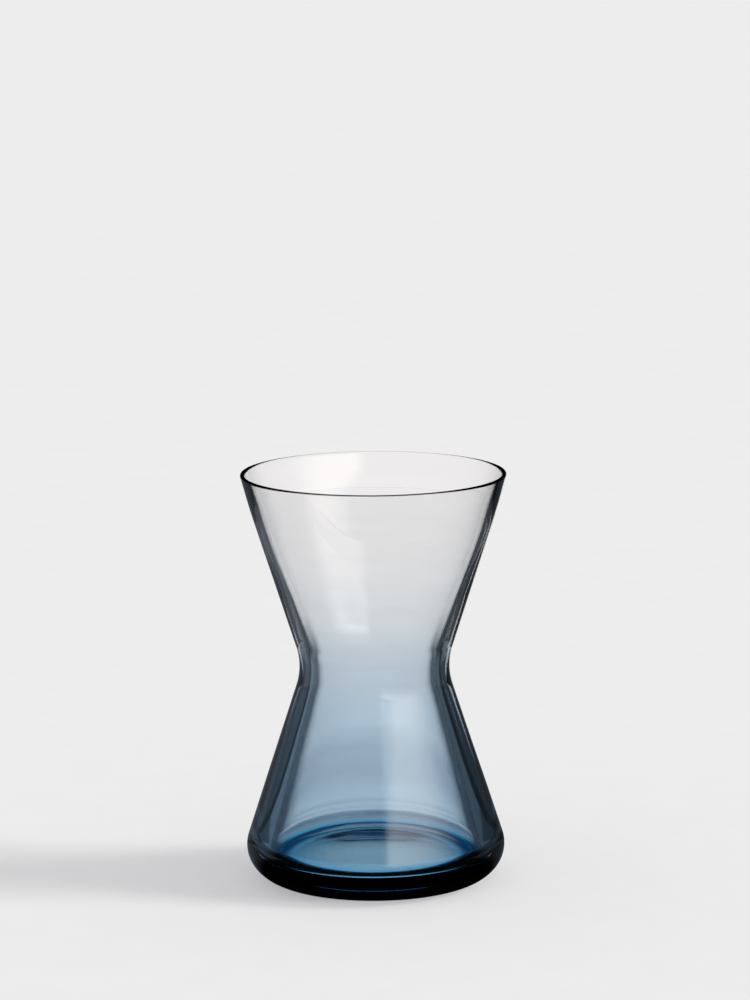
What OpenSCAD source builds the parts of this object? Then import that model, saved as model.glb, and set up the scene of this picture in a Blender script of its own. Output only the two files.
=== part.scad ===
// Mini vase of blown glass, in the shape of an hourglass.
// The vase stands on its foot with +Z up, and the origin is the centre of its base on the table.
// Two layers of glass are fused: a clear casing outside and a blue core inside. The core is thick
// in the floor and thins out to a fine edge in the upper cone, so the blue fades upwards.

/* [Outside] */
// Height from the table to the top of the rim
vase_h = 120; // [114:1:130]
// Outside diameter at the rim
rim_d = 77.4; // [72:0.2:84]
// Height of the steeper band under the rim
lip_drop = 10; // [7:0.5:14]
// How far the rim is drawn in from the straight line of the upper cone
lip_draw = 0.5; // [0.2:0.1:1]
// Radius that blends the upper cone into the band under the rim
lip_blend = 200; // [100:20:260]
// Height at which the two cones would meet
waist_h = 63.3; // [58:0.5:68]
// Outside diameter at which the two cones would meet
waist_d = 41.9; // [40:0.5:48]
// Radius that blends the two cones at the waist
waist_blend = 18.7; // [8:0.5:22]
// Diameter at which the lower cone would end at the foot
foot_d = 78.2; // [76:0.2:86]
// Height of that end above the table
foot_h = 7.3; // [6.8:0.1:9]
// How far the foot turns in from that end down to the table
foot_inset = 7.6; // [6.5:0.1:9]

/* [Inside] */
// Wall at the rim, measured level
rim_wall = 1.4; // [1.2:0.1:2]
// Wall about half-way up the upper cone, measured level
knee_wall = 2.6; // [2.2:0.1:3]
// Radius that blends the thin wall into the thick one
knee_blend = 500; // [300:20:560]
// Wall at the waist, measured level between the two sharp corners
waist_wall = 4.4; // [3.8:0.1:5.2]
// Radius that blends the inside at the waist
bore_blend = 25; // [16:1:30]
// Wall at the foot, measured level from the end of the lower cone to the edge of the floor
foot_wall = 7.4; // [7:0.1:9]
// Radius that blends the chamber wall into its floor
floor_blend = 3; // [2:0.5:5]
// Thickness of the glass under the middle of the chamber
floor_t = 8.6; // [8:0.2:12]
// How far the middle of the chamber floor stands above its edge
floor_rise = 1.2; // [0.6:0.1:2]
// Radius that blends the sloping edge of the floor into its level middle
dome_blend = 180; // [100:10:200]

/* [Blue core] */
// Thickness of the fine edge that the core ends in
fade_t = 0.15; // [0.1:0.05:0.4]
// Thickness of the core about half-way up the upper cone, measured level
core_knee_t = 0.35; // [0.3:0.05:0.6]
// Thickness of the core where it starts to swell above the waist, measured level
swell_t = 0.7; // [0.6:0.1:1.2]
// Thickness of the core at the waist, measured level between the two sharp corners
core_waist_t = 2.2; // [2:0.1:3]
// Thickness of the core at the edge of the floor, measured level
core_side_t = 6.8; // [6:0.1:7.2]
// Thickness of the core under the middle of the chamber
core_floor_t = 5.2; // [4:0.1:6.5]
// Radius that blends the side of the core into its underside
core_blend = 8; // [6:0.5:10]

/* [Underside] */
// How far the hollow under the base stops short of the sharp edge of the base
ring_inset = 5.3; // [5:0.1:9]
// Depth of that hollow at its middle
hollow_t = 1.1; // [0.3:0.1:1.5]

/* [Hidden] */
$fn = 144;

// Largest turn between two points of a blend, in degrees
blend_step = 5;
// Shares of the upper cone's height at which the inside bends, the core swells and the core ends
knee_share = 0.54;
swell_share = 0.24;
fade_share = 0.82;
// Share of the floor's radius at which its slope would meet its level middle
dome_share = 0.5;
// Most that one blend takes of an edge which it shares with another, inside and outside
inside_blend_share = 0.49;
outside_blend_share = 0.8;
// Share of the rim's wall that the round of each rim edge takes
rim_round_share = 0.46;
// Shares of the foot's slope that the two blends of the foot take
foot_blend_share = 0.57;
base_blend_share = 0.41;

rim_r = rim_d / 2;
waist_corner = [waist_d / 2, waist_h];
foot_corner = [foot_d / 2, foot_h];
base_corner = foot_corner - [foot_inset, foot_h];
hollow_r = base_corner.x - ring_inset;
cone_h = vase_h - waist_h;
lip_corner = on_line(waist_corner, [rim_r + lip_draw, vase_h], vase_h - lip_drop);
rim_outer = [rim_r, vase_h];
rim_inner = [rim_r - rim_wall, vase_h];
knee_corner = on_line(waist_corner, lip_corner, waist_h + cone_h * knee_share) - [knee_wall, 0];
bore_corner = waist_corner - [waist_wall, 0];
chamber_corner = [foot_corner.x - foot_wall, floor_t - floor_rise];
dome_corner = [chamber_corner.x * dome_share, floor_t];
fade_point = on_line(rim_inner, knee_corner, waist_h + cone_h * fade_share);
fade_edge = fade_point + [fade_t, 0];
swell_corner = on_line(bore_corner, knee_corner, waist_h + cone_h * swell_share) + [swell_t, 0];
core_knee_corner = knee_corner + [core_knee_t, 0];
core_waist_corner = bore_corner + [core_waist_t, 0];
core_foot_corner = chamber_corner + [core_side_t, -core_floor_t];

// Point at height z on the line through the points a and b
function on_line(a, b, z) = a + (b - a) * (z - a.y) / (b.y - a.y);

// Half the angle between the two edges that meet at the corner b
function half_turn(a, b, c) = acos((a - b) * (c - b) / norm(a - b) / norm(c - b)) / 2;

// Radius whose arc starts a given length before the corner b
function radius_for(a, b, c, reach) = reach * tan(half_turn(a, b, c));

// Points of the arc that rounds the corner b on the way from a to c
function corner_arc(a, b, c, radius) =
    let (
        to_a = (a - b) / norm(a - b),
        to_c = (c - b) / norm(c - b),
        half = half_turn(a, b, c),
        centre = b + (to_a + to_c) / norm(to_a + to_c) * radius / sin(half),
        first = b + to_a * radius / tan(half) - centre,
        last = b + to_c * radius / tan(half) - centre,
        start = atan2(first.y, first.x),
        sweep = (atan2(last.y, last.x) - start + 540) % 360 - 180,
        steps = ceil(abs(sweep) / blend_step)
    )
    [for (i = [0:steps]) centre + radius * [cos(start + sweep * i / steps), sin(start + sweep * i / steps)]];

// The radius, or a smaller one where its arc would take more than a share of the shorter edge
function fitting_radius(a, b, c, radius, most_share) =
    min(radius, radius_for(a, b, c, min(norm(a - b), norm(c - b)) * most_share));

// The path with each inner corner rounded by its radius
function rounded(path, radii, most_share) = [
    path[0],
    for (i = [1:len(path) - 2])
        let (a = path[i - 1], b = path[i], c = path[i + 1])
        each corner_arc(a, b, c, fitting_radius(a, b, c, radii[i - 1], most_share)),
    path[len(path) - 1]
];

// Points of the shallow arc under the base, from its middle to the ring that the vase stands on
function underside() =
    let (
        radius = (pow(hollow_r, 2) + pow(hollow_t, 2)) / (2 * hollow_t),
        spread = asin(hollow_r / radius),
        steps = ceil(spread / blend_step)
    )
    [for (i = [0:steps - 1])
        let (angle = spread * i / steps)
        [radius * sin(angle), hollow_t - radius + radius * cos(angle)]];

// Outside of the vase, from the middle of its underside up to the inner edge of its rim
function outside() =
    let (
        slope = norm(foot_corner - base_corner),
        ring = [hollow_r, 0],
        base_blend = radius_for(ring, base_corner, foot_corner, slope * base_blend_share),
        foot_blend = radius_for(base_corner, foot_corner, waist_corner, slope * foot_blend_share),
        rim_round = radius_for(lip_corner, rim_outer, rim_inner, rim_wall * rim_round_share),
        lip_round = radius_for(rim_outer, rim_inner, fade_point, rim_wall * rim_round_share)
    )
    concat(underside(), rounded(
        [ring, base_corner, foot_corner, waist_corner, lip_corner, rim_outer, rim_inner, fade_point],
        [base_blend, foot_blend, waist_blend, lip_blend, rim_round, lip_round],
        outside_blend_share));

// Inside of the vase below the top of the core, down to the middle of the chamber floor
function inside() = rounded(
    [fade_point, knee_corner, bore_corner, chamber_corner, dome_corner, [0, floor_t]],
    [knee_blend, bore_blend, floor_blend, dome_blend],
    inside_blend_share);

// Face between the two layers, from the top of the core down to the middle of its underside
function seam() = rounded(
    [fade_edge, core_knee_corner, swell_corner, core_waist_corner, core_foot_corner,
        [0, floor_t - core_floor_t]],
    [knee_blend, knee_blend, bore_blend, core_blend],
    inside_blend_share);

// The points from last to first
function reversed(points) = [for (i = [len(points) - 1:-1:0]) points[i]];

// Clear outer layer, with the rim, the outside of both cones and the foot
module clear_casing() {
    color([0.93, 0.95, 0.98, 0.35]) rotate_extrude() polygon(concat(outside(), seam()));
}

// Blue inner layer, which lines the vase from the upper cone down and holds most of the floor
module blue_core() {
    color([0.25, 0.45, 0.65, 0.6]) rotate_extrude() polygon(concat(inside(), reversed(seam())));
}

clear_casing();
blue_core();
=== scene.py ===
# Mini vase of blown glass: a clear outer layer fused over a blue core, on a pale studio floor.
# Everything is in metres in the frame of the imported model, +Z up, with the front towards -Y.
import bpy
import numpy as np
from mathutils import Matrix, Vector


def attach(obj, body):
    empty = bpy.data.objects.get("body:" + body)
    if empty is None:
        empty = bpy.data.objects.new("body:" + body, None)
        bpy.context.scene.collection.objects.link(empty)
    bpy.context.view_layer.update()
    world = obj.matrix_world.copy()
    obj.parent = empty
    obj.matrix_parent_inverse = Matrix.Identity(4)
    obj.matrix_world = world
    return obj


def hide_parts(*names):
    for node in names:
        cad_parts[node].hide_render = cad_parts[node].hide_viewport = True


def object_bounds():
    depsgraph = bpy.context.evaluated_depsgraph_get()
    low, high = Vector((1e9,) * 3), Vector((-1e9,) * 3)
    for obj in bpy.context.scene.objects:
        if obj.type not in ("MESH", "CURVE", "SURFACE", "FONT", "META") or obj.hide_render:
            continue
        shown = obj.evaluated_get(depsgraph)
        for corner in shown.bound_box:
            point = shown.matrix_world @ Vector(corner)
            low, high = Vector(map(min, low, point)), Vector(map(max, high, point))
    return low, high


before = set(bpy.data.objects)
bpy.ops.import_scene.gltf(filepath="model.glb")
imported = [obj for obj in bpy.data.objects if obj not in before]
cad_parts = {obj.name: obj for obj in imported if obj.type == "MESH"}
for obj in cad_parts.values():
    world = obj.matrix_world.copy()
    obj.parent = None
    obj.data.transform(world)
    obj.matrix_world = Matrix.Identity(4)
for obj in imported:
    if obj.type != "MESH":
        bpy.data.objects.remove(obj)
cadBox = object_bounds()
mm = 0.001
print("frame loaded, box in metres:", [tuple(round(v, 4) for v in corner) for corner in cadBox])

# Camera: a long lens just above the level, aimed over the vase as in the photograph

cameraSet = {
    "lens": 159.5,        # mm
    "sensor": 36,         # mm, along the long side of the picture
    "distance": 1.2919,   # metres from the middle of the vase
    "elevation": 12.3,    # degrees above the level
    "pitch": 10.03,       # degrees that the lens looks down
    "roll": 0.4,          # degrees, top of the picture to the left
    "sideways": 0.00047,  # metres to the right of the vase's middle
    "clip": (0.05, 100),  # metres, nearest and farthest
}


def addObject(name, data):
    thing = bpy.data.objects.new(name, data)
    bpy.context.scene.collection.objects.link(thing)
    return thing


def makeCamera(c):
    data = bpy.data.cameras.new("camera")
    data.lens, data.sensor_width = c["lens"], c["sensor"]
    data.clip_start, data.clip_end = c["clip"]
    camera = addObject("camera", data)
    rise = np.radians(c["elevation"])
    middle = vaseHeight / 2
    camera.location = (c["sideways"], -c["distance"] * np.cos(rise), middle + c["distance"] * np.sin(rise))
    camera.rotation_mode = "ZYX"  # the roll turns first, about the line of sight
    camera.rotation_euler = (np.radians(90 - c["pitch"]), 0, -np.radians(c["roll"]))
    bpy.context.scene.camera = camera


vaseHeight = cadBox[1].z
makeCamera(cameraSet)
print("camera placed")

# Profiles: the outlines of the vase as half sections, (radius, height) pairs with rounded corners

vaseShape = {  # millimetres, the sizes of the construction, with walls measured level
    "height": 120,          # from the table to the top of the rim
    "rimWidth": 77.4,       # outside diameter at the rim
    "lipDrop": 10,          # height of the steeper band under the rim
    "lipDraw": 0.5,         # how far that band draws the rim in
    "lipBlend": 200,        # radius into that band
    "waistHeight": 63.3,    # height at which the two cones would meet
    "waistWidth": 41.9,     # outside diameter there
    "waistBlend": 18.7,     # radius between the two cones
    "footWidth": 78.2,      # diameter at which the lower cone would end
    "footHeight": 7.3,      # height of that end
    "footInset": 7.6,       # how far the foot turns in from there down to the table
    "footShare": 0.57,      # shares of that turn which the upper and lower blend of the foot take
    "baseShare": 0.41,
    "rimWall": 1.4,
    "rimRoundShare": 0.46,  # share of the rim's wall that each of its two rounds takes
    "kneeWall": 2.6,        # wall where the inside of the upper cone bends
    "kneeShare": 0.54,      # share of the upper cone's height at which it bends
    "kneeBlend": 500,       # radius of that bend
    "waistWall": 4.4,
    "boreBlend": 25,        # radius of the inside at the waist
    "footWall": 7.4,
    "floorBlend": 3,        # radius between the chamber's wall and floor
    "floorThickness": 8.6,  # glass under the middle of the chamber
    "floorRise": 1.2,       # how far the middle of the floor stands above its edge
    "domeShare": 0.5,       # share of the floor's radius at which its slope would turn level
    "domeBlend": 180,       # radius of that turn
    "ringInset": 5.3,       # from the sharp edge of the base in to the hollow under it
    "hollowDepth": 1.1,
    "mostOfEdge": 0.8,      # most that one blend takes of an edge
}
coreShape = {  # millimetres
    "fadeShare": 0.82,      # shares of the upper cone's height at which the core ends and starts to swell
    "swellShare": 0.24,
    "edge": 0.15,           # thickness of the core at its upper end
    "knee": 0.35,           # the same where the inside bends, where it swells, at the waist and at the floor
    "swell": 0.7,
    "waist": 2.2,
    "side": 6.8,
    "floor": 5.2,           # thickness under the chamber
    "blend": 8,             # radius between the side of the core and its underside
    "mostOfEdge": 0.49,     # most that one blend takes of an edge
    "inset": 0.03,          # how far the drawn core stays inside the glass around it
}
meshSteps = {
    "arc": 3.5,             # degrees between two points on a rounded corner
    "fewestOnArc": 5,
    "longest": 6.0,         # mm between two points along a straight stretch
    "closestShare": 0.25,   # share of that step under which a point is left out
    "samePlace": 1e-9,      # mm, points closer than this are one point
    "hollow": 8,            # points along the hollow under the base
    "sides": 440,           # round the axis
    "leaning": -0.3,        # a wall faces the axis where its normal's radial part is under this
}


def unit(v):
    return v / np.linalg.norm(v)


def onLine(a, b, height):
    return a + (b - a) * (height - a[1]) / (b[1] - a[1])


def halfTurn(a, b, c):
    return np.arccos(unit(a - b) @ unit(c - b)) / 2


def radiusFor(a, b, c, reach):
    return reach * np.tan(halfTurn(a, b, c))


# A round corner is an arc that touches both edges: its centre lies on the bisector at
# radius / sin(half turn), and points are centre + radius * (cos t, sin t) over the turn.
# The normal is the spoke, pointing out of the glass that lies to the left of the path.
def cornerArc(a, b, c, radius):
    toA, toC, half = unit(a - b), unit(c - b), halfTurn(a, b, c)
    centre = b + unit(toA + toC) * radius / np.sin(half)
    first = b + toA * radius / np.tan(half) - centre
    last = b + toC * radius / np.tan(half) - centre
    start = np.arctan2(first[1], first[0])
    sweep = (np.arctan2(last[1], last[0]) - start + 3 * np.pi) % (2 * np.pi) - np.pi
    points = max(meshSteps["fewestOnArc"], int(np.ceil(np.degrees(abs(sweep)) / meshSteps["arc"])) + 1)
    turn = start + sweep * np.linspace(0, 1, points)
    spokes = np.stack([np.cos(turn), np.sin(turn)], 1)
    return centre + radius * spokes, spokes * np.sign(sweep)


# The path with its inner corners rounded: points and normals
def roundedPath(corners, radii, share):
    points, normals = [corners[0][None]], [np.array([[0, -1.0]])]
    for a, b, c, radius in zip(corners, corners[1:], corners[2:], radii):
        most = radiusFor(a, b, c, min(np.linalg.norm(a - b), np.linalg.norm(c - b)) * share)
        arc, out = cornerArc(a, b, c, min(radius, most))
        points.append(arc)
        normals.append(out)
    points.append(corners[-1][None])
    normals.append(normals[-1][-1:])
    normals[0] = normals[1][:1]
    return np.concatenate(points), np.concatenate(normals)


# The path cut into short steps: points and normals are read off by the distance along the path
def shortSteps(points, normals):
    along = np.concatenate([[0], np.cumsum(np.linalg.norm(np.diff(points, axis=0), axis=1))])
    keep = np.concatenate([[True], np.diff(along) > meshSteps["samePlace"]])
    points, normals, along = points[keep], normals[keep], along[keep]
    places = np.union1d(along, np.arange(0, along[-1], meshSteps["longest"]))
    near = np.min(np.abs(places[:, None] - along[None]), axis=1)
    places = places[(near == 0) | (near > meshSteps["longest"] * meshSteps["closestShare"])]
    read = lambda column: np.interp(places, along, column)
    points = np.stack([read(points[:, 0]), read(points[:, 1])], 1)
    normals = np.stack([read(normals[:, 0]), read(normals[:, 1])], 1)
    return points, normals / np.linalg.norm(normals, axis=1)[:, None]


# Corners that the outside, the inside and the seam between the layers share
def vaseCorners(v, k):
    p = lambda x, y: np.array([x, y], float)
    waist = p(v["waistWidth"] / 2, v["waistHeight"])
    foot = p(v["footWidth"] / 2, v["footHeight"])
    base = foot - p(v["footInset"], v["footHeight"])
    cone = v["height"] - v["waistHeight"]
    lip = onLine(waist, p(v["rimWidth"] / 2 + v["lipDraw"], v["height"]), v["height"] - v["lipDrop"])
    rimOuter = p(v["rimWidth"] / 2, v["height"])
    rimInner = rimOuter - p(v["rimWall"], 0)
    knee = onLine(waist, lip, v["waistHeight"] + cone * v["kneeShare"]) - p(v["kneeWall"], 0)
    bore = waist - p(v["waistWall"], 0)
    chamber = p(foot[0] - v["footWall"], v["floorThickness"] - v["floorRise"])
    fade = onLine(rimInner, knee, v["waistHeight"] + cone * k["fadeShare"])
    swell = onLine(bore, knee, v["waistHeight"] + cone * k["swellShare"]) + p(k["swell"], 0)
    return {
        "ring": p(base[0] - v["ringInset"], 0), "base": base, "foot": foot, "waist": waist, "lip": lip,
        "rimOuter": rimOuter, "rimInner": rimInner, "fade": fade, "knee": knee, "bore": bore,
        "chamber": chamber, "dome": p(chamber[0] * v["domeShare"], v["floorThickness"]),
        "middle": p(0, v["floorThickness"]), "swell": swell,
        "coreEdge": fade + p(k["edge"], 0), "coreKnee": knee + p(k["knee"], 0),
        "coreWaist": bore + p(k["waist"], 0), "coreFoot": chamber + p(k["side"], -k["floor"]),
        "coreMiddle": p(0, v["floorThickness"] - k["floor"]),
    }


# Shallow hollow under the base: an arc of a large circle through the ring and the raised middle
def underside(ringRadius, depth):
    radius = (ringRadius ** 2 + depth ** 2) / (2 * depth)
    angle = np.linspace(0, np.arcsin(ringRadius / radius), meshSteps["hollow"])
    points = np.stack([radius * np.sin(angle), depth - radius + radius * np.cos(angle)], 1)
    return points[:-1], np.stack([-np.sin(angle), -np.cos(angle)], 1)[:-1]


# The whole glass: from the middle of the underside round the outside, over the rim and down to the floor
def outsideAndInside(v, k):
    c = vaseCorners(v, k)
    slope = np.linalg.norm(c["foot"] - c["base"])
    roundOff = v["rimWall"] * v["rimRoundShare"]
    path = [c[name] for name in ("ring", "base", "foot", "waist", "lip", "rimOuter", "rimInner",
                                 "knee", "bore", "chamber", "dome", "middle")]
    radii = [
        radiusFor(*path[0:3], slope * v["baseShare"]), radiusFor(*path[1:4], slope * v["footShare"]),
        v["waistBlend"], v["lipBlend"],
        radiusFor(*path[4:7], roundOff), radiusFor(*path[5:8], roundOff),
        v["kneeBlend"], v["boreBlend"], v["floorBlend"], v["domeBlend"],
    ]
    hollow, hollowNormals = underside(c["ring"][0], v["hollowDepth"])
    points, normals = roundedPath(path, radii, v["mostOfEdge"])
    return shortSteps(np.concatenate([hollow, points]), np.concatenate([hollowNormals, normals]))


# The core's outline: up its outer face, then down its inner one, drawn in by the inset
def coreOutline(v, k):
    c = vaseCorners(v, k)
    seam = [c[name] for name in ("coreMiddle", "coreFoot", "coreWaist", "swell", "coreKnee", "coreEdge")]
    inner = [c[name] for name in ("fade", "knee", "bore", "chamber", "dome", "middle")]
    seamRadii = [k["blend"], v["boreBlend"], v["kneeBlend"], v["kneeBlend"]]
    innerRadii = [v["kneeBlend"], v["boreBlend"], v["floorBlend"], v["domeBlend"]]
    outer, outerNormals = roundedPath(seam, seamRadii, k["mostOfEdge"])
    lining, liningNormals = roundedPath(inner, innerRadii, k["mostOfEdge"])
    lining = lining - k["inset"] * liningNormals
    lining[-1, 0] = 0
    return shortSteps(np.concatenate([outer, lining]), np.concatenate([outerNormals, liningNormals]))


# A profile turned about the upright axis: x = r cos t, y = r sin t, z = height, with t over a full
# turn. The first and last points lie on the axis and close the skin with one point each.
# "insideWall" marks the points whose normal leans towards the axis.
def turned(name, points, normals):
    sides = meshSteps["sides"]
    t = np.linspace(0, 2 * np.pi, sides, endpoint=False)
    wheel = np.stack([np.cos(t), np.sin(t)], 1)
    rings, ringNormals = points[1:-1] * mm, normals[1:-1]
    spread = lambda r, z: np.concatenate(
        [r[:, None, None] * wheel[None], np.broadcast_to(z[:, None, None], (len(z), sides, 1))], 2)
    poles = np.array([[0, 0, points[0, 1] * mm], [0, 0, points[-1, 1] * mm]])
    poleNormals = np.array([[0, 0, np.sign(normals[0, 1])], [0, 0, np.sign(normals[-1, 1])]])
    vertices = np.concatenate([spread(rings[:, 0], rings[:, 1]).reshape(-1, 3), poles])
    outward = np.concatenate([spread(ringNormals[:, 0], ringNormals[:, 1]).reshape(-1, 3), poleNormals])
    grid = np.arange(len(rings) * sides).reshape(len(rings), sides)
    after = np.roll(grid, -1, 1)
    quads = np.stack([grid[:-1], after[:-1], after[1:], grid[1:]], 2).reshape(-1, 4)
    first, last = len(grid) * sides, len(grid) * sides + 1
    bottom = np.stack([np.full(sides, first), after[0], grid[0]], 1)
    top = np.stack([grid[-1], after[-1], np.full(sides, last)], 1)
    mesh = bpy.data.meshes.new(name)
    mesh.from_pydata(vertices.tolist(), [], quads.tolist() + bottom.tolist() + top.tolist())
    mesh.shade_smooth()
    mesh.normals_split_custom_set_from_vertices(outward.tolist())
    leans = np.concatenate([np.repeat(ringNormals[:, 0] < meshSteps["leaning"], sides), [False, False]])
    mesh.attributes.new("insideWall", "FLOAT", "POINT").data.foreach_set("value", leans.astype(np.float32))
    return addObject(name, mesh)


glassBody = turned("glass_body", *outsideAndInside(vaseShape, coreShape))
blueLayer = turned("blue_layer", *coreOutline(vaseShape, coreShape))
triangles = [len(piece.data.loops) - 2 * len(piece.data.polygons) for piece in (glassBody, blueLayer)]
print("vase turned, triangles:", triangles)

# Node helpers


def newTree(owner):
    owner.use_nodes = True
    owner.node_tree.nodes.clear()
    return owner.node_tree


def newMaterial(name):
    material = bpy.data.materials.new(name)
    return material, newTree(material)


def addNode(tree, kind, label=None, **settings):
    node = tree.nodes.new(kind)
    if label:
        node.label = label
    for key, value in settings.items():
        setattr(node, key, value)
    return node


def join(tree, *pairs):
    for start, end in pairs:
        tree.links.new(start, end)


# Values by the socket's name, with _ for each space
def setSockets(node, **values):
    for name, value in values.items():
        node.inputs[name.replace("_", " ")].default_value = value


# Two values into one: MULTIPLY, or MAXIMUM for the larger
def combine(tree, first, second, operation="MULTIPLY"):
    both = addNode(tree, "ShaderNodeMath", operation=operation)
    join(tree, (first, both.inputs[0]), (second, both.inputs[1]))
    return both.outputs[0]


# A soft step: low before the first place, high beyond the second
def softStep(tree, value, start, end, low, high):
    ramp = addNode(tree, "ShaderNodeMapRange", interpolation_type="SMOOTHSTEP")
    setSockets(ramp, From_Min=start, From_Max=end, To_Min=low, To_Max=high)
    join(tree, (value, ramp.inputs["Value"]))
    return ramp.outputs[0]


# Each of the three inputs is a socket, a colour or a plain number
def colourMix(tree, factor, low, high, blend="MIX"):
    mix = addNode(tree, "ShaderNodeMix", data_type="RGBA", blend_type=blend)
    for socket, value in (("Factor", factor), ("A", low), ("B", high)):
        if isinstance(value, (float, int)):
            mix.inputs[socket].default_value = value if socket == "Factor" else (value,) * 3 + (1,)
        elif isinstance(value, tuple):
            mix.inputs[socket].default_value = (*value, 1)
        else:
            tree.links.new(value, mix.inputs[socket])
    return mix.outputs["Result"]


def shaderMix(tree, factor, first, second):
    mix = addNode(tree, "ShaderNodeMixShader")
    join(tree, (factor, mix.inputs[0]), (first.outputs[0], mix.inputs[1]), (second.outputs[0], mix.inputs[2]))
    return mix.outputs[0]


# Colours read off by a height or distance in metres, with straight blends between stops given in mm
def rampColour(tree, value, stops):
    reach = stops[-1][0] * mm
    scale, ramp = addNode(tree, "ShaderNodeMapRange"), addNode(tree, "ShaderNodeValToRGB")
    setSockets(scale, From_Max=reach)
    elements = ramp.color_ramp.elements
    while len(elements) < len(stops):
        elements.new(0.5)  # its place is set below
    for element, (place, colour) in zip(elements, stops):
        element.position, element.color = place * mm / reach, (*colour, 1)
    join(tree, (value, scale.inputs["Value"]), (scale.outputs[0], ramp.inputs[0]))
    return ramp.outputs["Color"]


# Shared effects

unevenNoise = {"detail": 2, "darkAt": 0.3, "lightAt": 0.7}  # noise values of the darkest and lightest shade
rippleDetail = 1


# A new group with its own inputs, and the object's place with its height drawn out by "Flatten",
# so that the noise lies in level bands
def startGroup(name, output, **inputs):
    group = bpy.data.node_groups.new(name, "ShaderNodeTree")
    group.interface.new_socket(output, in_out="OUTPUT", socket_type="NodeSocketFloat")
    for inputName, value in inputs.items():
        socket = group.interface.new_socket(inputName, in_out="INPUT", socket_type="NodeSocketFloat")
        socket.default_value = value
    start, end = addNode(group, "NodeGroupInput"), addNode(group, "NodeGroupOutput")
    spot, noise = addNode(group, "ShaderNodeTexCoord"), addNode(group, "ShaderNodeTexNoise")
    parts, whole = addNode(group, "ShaderNodeSeparateXYZ"), addNode(group, "ShaderNodeCombineXYZ")
    join(group, (spot.outputs["Object"], parts.inputs[0]), (parts.outputs["X"], whole.inputs["X"]),
         (parts.outputs["Y"], whole.inputs["Y"]),
         (combine(group, parts.outputs["Z"], start.outputs["Flatten"]), whole.inputs["Z"]),
         (whole.outputs[0], noise.inputs["Vector"]), (start.outputs["Width"], noise.inputs["Scale"]))
    return group, start, end, noise


# Uneven shade: flattened noise between a darkest and a lightest value
def unevenGroup():
    group, start, end, noise = startGroup(
        "unevenShade", "Shade", Width=25, Flatten=8, Darkest=0.95, Lightest=1)
    setSockets(noise, Detail=unevenNoise["detail"])
    limits = addNode(group, "ShaderNodeMapRange")
    setSockets(limits, From_Min=unevenNoise["darkAt"], From_Max=unevenNoise["lightAt"])
    join(group, (noise.outputs["Fac"], limits.inputs["Value"]), (limits.outputs[0], end.inputs["Shade"]),
         (start.outputs["Darkest"], limits.inputs["To Min"]),
         (start.outputs["Lightest"], limits.inputs["To Max"]))
    return group


# Ripple of blown glass: slow flattened noise as a height
def rippleGroup():
    group, start, end, noise = startGroup("blownRipple", "Height", Width=60, Flatten=3)
    setSockets(noise, Detail=rippleDetail)
    join(group, (noise.outputs["Fac"], end.inputs["Height"]))
    return group


ripple, uneven = rippleGroup(), unevenGroup()


# A group placed in a material with its own values, in the order of the group's inputs
def placeGroup(tree, group, label, values):
    node = addNode(tree, "ShaderNodeGroup", label, node_tree=group)
    for socket, value in zip(node.inputs, values):
        socket.default_value = value
    return node.outputs[0]


# Glass

bodyGlass = {
    # colour of the skin by height in mm, a little blue where the core is thick, with a band of painted shade
    # at 62 mm by the waist
    "colour": ((0, (0.90, 0.94, 0.97)), (45, (0.90, 0.94, 0.97)), (57, (0.93, 0.96, 0.98)),
               (62, (0.915, 0.942, 0.966)), (66, (0.93, 0.955, 0.974)), (76, (0.968, 0.98, 0.988)),
               (90, (0.995, 0.998, 1.0))),
    "streaks": (22.0, 9.0, 0.975, 1.0),  # width and flatness of the noise, darkest and lightest shade
    "bending": 1.5,                      # index of refraction
    "absorbs": (0.80, 0.88, 0.93),       # the faint cast of the clear glass in its depth
    "density": 4.0,                      # per metre
    "grazeColour": (0.02, 0.03, 0.04),   # painted shade for the lower inside wall, where it is met at a grazing angle
    "graze": (0.46, 0.66),               # facing values between which it sets in
    "grazeTop": (0.064, 0.080),          # heights in metres between which it ends
    "ripple": (55.0, 3.0),               # width and flatness of the noise
    "rippleHeight": 0.00002,             # metres
    "shadowTint": (0.80, 0.795, 0.81),   # left of the light that passes to the floor
}
blueGlass = {
    "cords": (90.0, 6.0, 0.99, 1.0),     # width and flatness of the noise, darkest and lightest shade
    "bending": 1.0,                      # nothing, because the clear glass round it does the bending
    "absorbs": (0.0, 0.359, 0.590),      # the blue in its depth
    "density": 78.0,                     # per metre: 78 of red, 50 of green, 32 of blue
    "shadowTint": (0.96, 0.965, 0.975),
}


# Glass has a skin that bends light and a depth that absorbs it. Light on its way to the floor goes
# straight through with a tint.
def glassMaterial(name, look, paintSkin):
    material, tree = newMaterial(name)
    skin, depth = addNode(tree, "ShaderNodeBsdfPrincipled"), addNode(tree, "ShaderNodeVolumeAbsorption")
    setSockets(skin, Roughness=0, IOR=look["bending"], Transmission_Weight=1)
    setSockets(depth, Color=(*look["absorbs"], 1), Density=look["density"])
    paintSkin(tree, skin, look)
    path, through = addNode(tree, "ShaderNodeLightPath"), addNode(tree, "ShaderNodeBsdfTransparent")
    setSockets(through, Color=(*look["shadowTint"], 1))
    toFloor = combine(tree, path.outputs["Is Shadow Ray"], path.outputs["Is Diffuse Ray"], "MAXIMUM")
    out = addNode(tree, "ShaderNodeOutputMaterial")
    join(tree, (shaderMix(tree, toFloor, skin, through), out.inputs["Surface"]),
         (depth.outputs[0], out.inputs["Volume"]))
    return material
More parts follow.
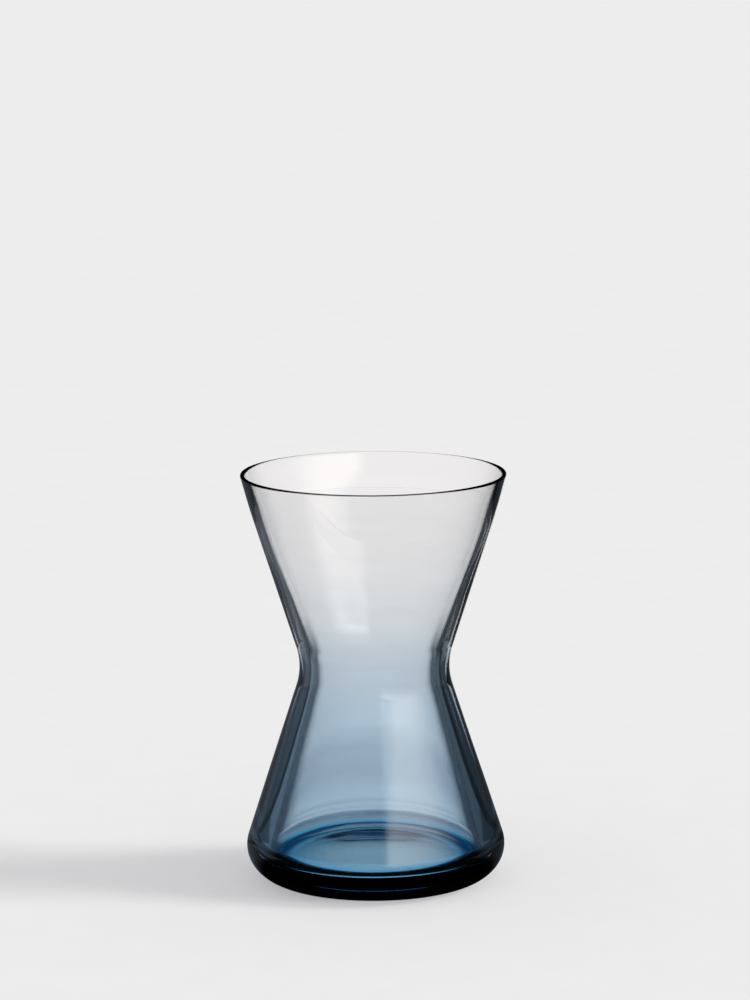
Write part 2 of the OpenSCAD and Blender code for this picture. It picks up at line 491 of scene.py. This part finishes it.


# The clear skin has faint streaks and ripple, and its lower inside wall gets a painted shade in its colour
# where a ray from the air side meets it at a grazing angle
def clearSkin(tree, skin, look):
    facing, side = addNode(tree, "ShaderNodeLayerWeight"), addNode(tree, "ShaderNodeNewGeometry")
    wall = addNode(tree, "ShaderNodeAttribute", attribute_name="insideWall")
    spot, parts = addNode(tree, "ShaderNodeTexCoord"), addNode(tree, "ShaderNodeSeparateXYZ")
    join(tree, (spot.outputs["Object"], parts.inputs[0]))
    low = combine(tree, wall.outputs["Fac"], softStep(tree, parts.outputs["Z"], *look["grazeTop"], 1, 0))
    fromAir = combine(tree, low, softStep(tree, side.outputs["Backfacing"], 0, 1, 1, 0))
    # painted shade: how far the skin colour turns dark on the lower inside wall
    graze = combine(tree, fromAir, softStep(tree, facing.outputs["Facing"], *look["graze"], 0, 1))
    streaks = placeGroup(tree, uneven, "streaks of the drawn skin", look["streaks"])
    colour = colourMix(tree, 1.0, rampColour(tree, parts.outputs["Z"], look["colour"]), streaks, "MULTIPLY")
    bump = addNode(tree, "ShaderNodeBump")
    setSockets(bump, Strength=1, Distance=look["rippleHeight"])
    join(tree, (colourMix(tree, graze, colour, look["grazeColour"]), skin.inputs["Base Color"]),
         (placeGroup(tree, ripple, "ripple of the blown skin", look["ripple"]), bump.inputs["Height"]),
         (bump.outputs[0], skin.inputs["Normal"]))


# The core's own skin has only faint cords, because its colour lies in its depth
def blueSkin(tree, skin, look):
    cords = placeGroup(tree, uneven, "cords in the blue glass", look["cords"])
    join(tree, (cords, skin.inputs["Base Color"]))


glassBody.data.materials.append(glassMaterial("clearGlass", bodyGlass, clearSkin))
blueLayer.data.materials.append(glassMaterial("blueGlass", blueGlass, blueSkin))
for piece, node, slot in ((glassBody, "clear_casing", "clear_glass"), (blueLayer, "blue_core", "blue_glass")):
    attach(piece, "root")
    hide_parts(node)
blueLayer.visible_shadow = blueLayer.visible_diffuse = False  # the shadow stays grey
print("glass made")

# Studio: a pale paper floor under soft light from all round and a low lamp to the right. What the glass
# itself shows is a bright floor all round it with painted light and shade, painted black flags in its
# mirrored edges and a softbox.

softbox = {
    "side": 132,                   # degrees from +Y towards +X, of the card's middle
    "rise": 22,                    # degrees above the level
    "distance": 1.2,               # metres from the vase
    "width": 2.15,                 # metres
    "height": 0.80,
    "strength": 3.2,
    "colour": (1.0, 0.94, 0.85),
    # where it fades, as shares of its width or height, and the share of the light that it keeps beyond
    "leftFade": (0.05, 0.5),
    "rightFade": (0.84, 1),
    "upperFade": (0.48, 0.6),
    "upperShare": 0.04,
    "lowerFade": (0.1, 0.42),
    "lowerShare": 0.28,
    "cloth": (4.0, 1.0, 0.94, 1.0),  # width and flatness of the noise, darkest and lightest shade
}


# A flat card that faces the vase: middle + u * across + v * up, with u and v from -1/2 to 1/2
def makeSoftbox(s):
    side, rise = np.radians(s["side"]), np.radians(s["rise"])
    away = np.array([np.sin(side) * np.cos(rise), np.cos(side) * np.cos(rise), np.sin(rise)])
    across = np.array([np.cos(side), -np.sin(side), 0])
    up = np.cross(across, away)
    middle = away * s["distance"] + np.array([0, 0, vaseHeight / 2])
    u, v = np.array([-0.5, 0.5, 0.5, -0.5]), np.array([-0.5, -0.5, 0.5, 0.5])
    corners = middle + u[:, None] * across * s["width"] + v[:, None] * up * s["height"]
    mesh = bpy.data.meshes.new("softbox_frontRight")
    mesh.from_pydata(corners.tolist(), [], [(0, 1, 2, 3)])
    layer = mesh.uv_layers.new(name="across")
    layer.data.foreach_set("uv", np.stack([u + 0.5, v + 0.5], 1).astype(np.float32).ravel())
    card = addObject("softbox_frontRight", mesh)
    material, tree = newMaterial("softboxLight")
    spot, parts = addNode(tree, "ShaderNodeUVMap"), addNode(tree, "ShaderNodeSeparateXYZ")
    join(tree, (spot.outputs[0], parts.inputs[0]))
    left = softStep(tree, parts.outputs["X"], *s["leftFade"], 0, 1)
    right = softStep(tree, parts.outputs["X"], *s["rightFade"], s["strength"], 0)
    upper = softStep(tree, parts.outputs["Y"], *s["upperFade"], 1, s["upperShare"])
    lower = softStep(tree, parts.outputs["Y"], *s["lowerFade"], s["lowerShare"], 1)
    cloth = placeGroup(tree, uneven, "cloth of the softbox", s["cloth"])
    glow, out = addNode(tree, "ShaderNodeEmission"), addNode(tree, "ShaderNodeOutputMaterial")
    join(tree, (colourMix(tree, 1.0, s["colour"], cloth, "MULTIPLY"), glow.inputs["Color"]),
         (combine(tree, combine(tree, left, right), combine(tree, upper, lower)), glow.inputs["Strength"]),
         (glow.outputs[0], out.inputs["Surface"]))
    material.cycles.emission_sampling = "NONE"
    mesh.materials.append(material)
    card.visible_camera = card.visible_diffuse = False  # it shows only in the glass
    card.visible_shadow = card.visible_volume_scatter = False


makeSoftbox(softbox)

floorLook = {
    "colour": (0.847, 0.847, 0.847),      # of the paper, to the camera
    "grain": (60.0, 1.0, 0.992, 1.006),   # width and flatness of the noise, darkest and lightest shade
    "reach": 15.0,                        # metres, half its side
    "drop": 0.00004,                      # metres under the vase
    # What light through the glass meets on the floor is painted light and shade: one colour for each ring of
    # it, and the distances in mm from the vase's axis between which it lies, with blends from one to the next
    "paintedForGlass": (((0, 14), (0.77, 0.965, 1.0)),         # painted light: paper as if lit through the blue glass
             ((24.5,), (0.27, 0.66, 0.88)),         # the edge of that painted light
             ((26.5, 33.5), (0.01, 0.115, 0.235)),  # painted shadow: the dark ring under the foot
             ((36.5,), (0.11, 0.55, 0.80)),         # painted blue light that leaves the foot
             ((45,), (0.44, 0.53, 0.58)),           # painted soft shade round the foot, lighter near it
             ((57, 64), (0.31, 0.38, 0.45)),        # and darker farther out
             ((84,), (0.945, 0.92, 0.92)),          # bare paper
             ((108, 140), (0.775, 0.75, 0.76)),     # a fainter painted shade round that
             ((165, 350), (0.945, 0.92, 0.92))),    # bare paper
    "underVase": (0.024, 0.028),          # metres between which those painted rings alone end
    # Light that comes straight through the glass sees that bright floor with its painted rings all round.
    # Light that the glass mirrors inside sees painted black flags, dark fans in the floor's colour, with a
    # painted bright field where the first two fans overlap. A fan has a middle line, from +Y towards +X, a
    # half width and a softness, all in degrees.
    "fields": ((47, 60, 3), (-42, 60, 2.5)),
    "fieldStart": (-0.01, 0.012),         # metres ahead at which the field sets in
    "nearColour": 0.003,                  # painted near-black of the floor before it
    "flags": (-3, 42, 2),                 # the painted flags stand beside this fan
    "paintedFlagColour": (0.10, 0.115, 0.135),
    "paintedFlagEdge": 0.05,                   # painted dark of the flags' outer edge
    "wings": (-1.5, 48.5, 1.0),           # beyond this fan lies a painted grey shade, from these distances on
    "wingStart": (0.13, 0.16),
    "paintedWingShade": (0.20, 0.24, 0.28),
    "rightTurn": (-0.03, 0.03),           # metres across which a painted shade makes the right side darker
    "rightShare": 0.55,
}


# A fan on the floor, 1 inside and 0 outside. It opens from the axis, and the angle to its middle line is
# arccos(level direction . middle line).
def fanMask(tree, source, side, half, blur):
    a = np.radians(side)
    level = addNode(tree, "ShaderNodeVectorMath", operation="MULTIPLY")
    level.inputs[1].default_value = (1, 1, 0)
    flat = addNode(tree, "ShaderNodeVectorMath", operation="NORMALIZE")
    dot = addNode(tree, "ShaderNodeVectorMath", operation="DOT_PRODUCT")
    dot.inputs[1].default_value = (np.sin(a), np.cos(a), 0)
    angle = addNode(tree, "ShaderNodeMath", operation="ARCCOSINE")
    join(tree, (source, level.inputs[0]), (level.outputs[0], flat.inputs[0]),
         (flat.outputs[0], dot.inputs[0]), (dot.outputs["Value"], angle.inputs[0]))
    return softStep(tree, angle.outputs[0], np.radians(half - blur), np.radians(half + blur), 1, 0)


# The light path, and 1 for light that comes to the glass or through it
def seenInGlass(tree):
    path = addNode(tree, "ShaderNodeLightPath")
    return path, combine(tree, path.outputs["Is Glossy Ray"], path.outputs["Is Transmission Ray"], "MAXIMUM")


# The floor as light that the glass mirrors inside sees it: painted flags and wings of painted shade round the
# painted bright field
def mirroredFloor(tree, s, where, parts, away, light):
    field = combine(tree, *(fanMask(tree, where, *fan) for fan in s["fields"]))
    wings = colourMix(tree, softStep(tree, away, *s["wingStart"], 0, 1), s["paintedFlagColour"], s["paintedWingShade"])
    edge = colourMix(tree, fanMask(tree, where, *s["wings"]), wings, s["paintedFlagEdge"])
    flags = colourMix(tree, fanMask(tree, where, *s["flags"]), edge, s["paintedFlagColour"])
    turn = softStep(tree, parts.outputs["X"], *s["rightTurn"], 1, s["rightShare"])
    behind = colourMix(tree, field, colourMix(tree, 1.0, flags, turn, "MULTIPLY"), light)
    ahead = softStep(tree, parts.outputs["Y"], *s["fieldStart"], 0, 1)
    return colourMix(tree, ahead, s["nearColour"], behind)


def makeFloor(s):
    r, z = s["reach"], -s["drop"]
    mesh = bpy.data.meshes.new("floor")
    mesh.from_pydata([(-r, -r, z), (r, -r, z), (r, r, z), (-r, r, z)], [], [(0, 1, 2, 3)])
    floor = addObject("floor", mesh)
    material, tree = newMaterial("floorPaper")
    where = addNode(tree, "ShaderNodeTexCoord").outputs["Object"]
    parts = addNode(tree, "ShaderNodeSeparateXYZ")
    reach = addNode(tree, "ShaderNodeVectorMath", operation="LENGTH")
    join(tree, (where, parts.inputs[0]), (where, reach.inputs[0]))
    away = reach.outputs["Value"]
    # painted light and shade in rings round the axis, for light through the glass
    light = rampColour(tree, away, [(place, colour) for places, colour in s["paintedForGlass"] for place in places])
    path, glassRay = seenInGlass(tree)
    mirrored = softStep(tree, path.outputs["Glossy Depth"], 0, 1, 0, 1)
    around = colourMix(tree, mirrored, light, mirroredFloor(tree, s, where, parts, away, light))
    paintedForGlass = colourMix(tree, softStep(tree, away, *s["underVase"], 1, 0), around, light)
    grain = placeGroup(tree, uneven, "grain of the paper", s["grain"])
    # for light that comes to the glass or through it, the floor glows with that painted colour instead of
    # being lit by the lamps
    paper, lit = addNode(tree, "ShaderNodeBsdfPrincipled"), addNode(tree, "ShaderNodeEmission")
    setSockets(paper, Roughness=1, Specular_IOR_Level=0)
    out = addNode(tree, "ShaderNodeOutputMaterial")
    join(tree, (colourMix(tree, 1.0, s["colour"], grain, "MULTIPLY"), paper.inputs["Base Color"]),
         (paintedForGlass, lit.inputs["Color"]), (shaderMix(tree, glassRay, paper, lit), out.inputs["Surface"]))
    material.cycles.emission_sampling = "NONE"
    mesh.materials.append(material)


makeFloor(floorLook)

lights = {
    "dome": 0.62,                         # soft light from all round
    "room": 0.0,                          # what the glass sees above the floor
    "keyStrength": 2.4,
    "keySide": 94.0,                      # degrees from +Y towards +X
    "keyRise": 30.0,                      # degrees above the level
    "keySpread": 18.0,                    # degrees, for the softness of the shadow
}


# The camera sees a backdrop of the floor's colour
def makeWorld(s, backdrop):
    world = bpy.data.worlds.new("studio")
    bpy.context.scene.world = world
    tree = newTree(world)
    path, glassRay = seenInGlass(tree)
    light = colourMix(tree, path.outputs["Is Camera Ray"], s["dome"], backdrop)
    back, out = addNode(tree, "ShaderNodeBackground"), addNode(tree, "ShaderNodeOutputWorld")
    join(tree, (colourMix(tree, glassRay, light, s["room"]), back.inputs["Color"]),
         (back.outputs[0], out.inputs["Surface"]))


def makeKey(s):
    data = bpy.data.lights.new("key", "SUN")
    data.energy, data.angle = s["keyStrength"], np.radians(s["keySpread"])
    key = addObject("key", data)
    key.rotation_euler = (np.radians(90 - s["keyRise"]), 0, np.radians(180 - s["keySide"]))
    key.visible_glossy = key.visible_transmission = False


makeWorld(lights, floorLook["colour"])
makeKey(lights)

bounces = {"max_bounces": 16, "transmission_bounces": 16, "glossy_bounces": 9, "transparent_max_bounces": 24}

scene = bpy.context.scene
scene.view_settings.view_transform = "Standard"
for name, value in bounces.items():
    setattr(scene.cycles, name, value)
scene.cycles.caustics_reflective = scene.cycles.caustics_refractive = False
print("studio lit")
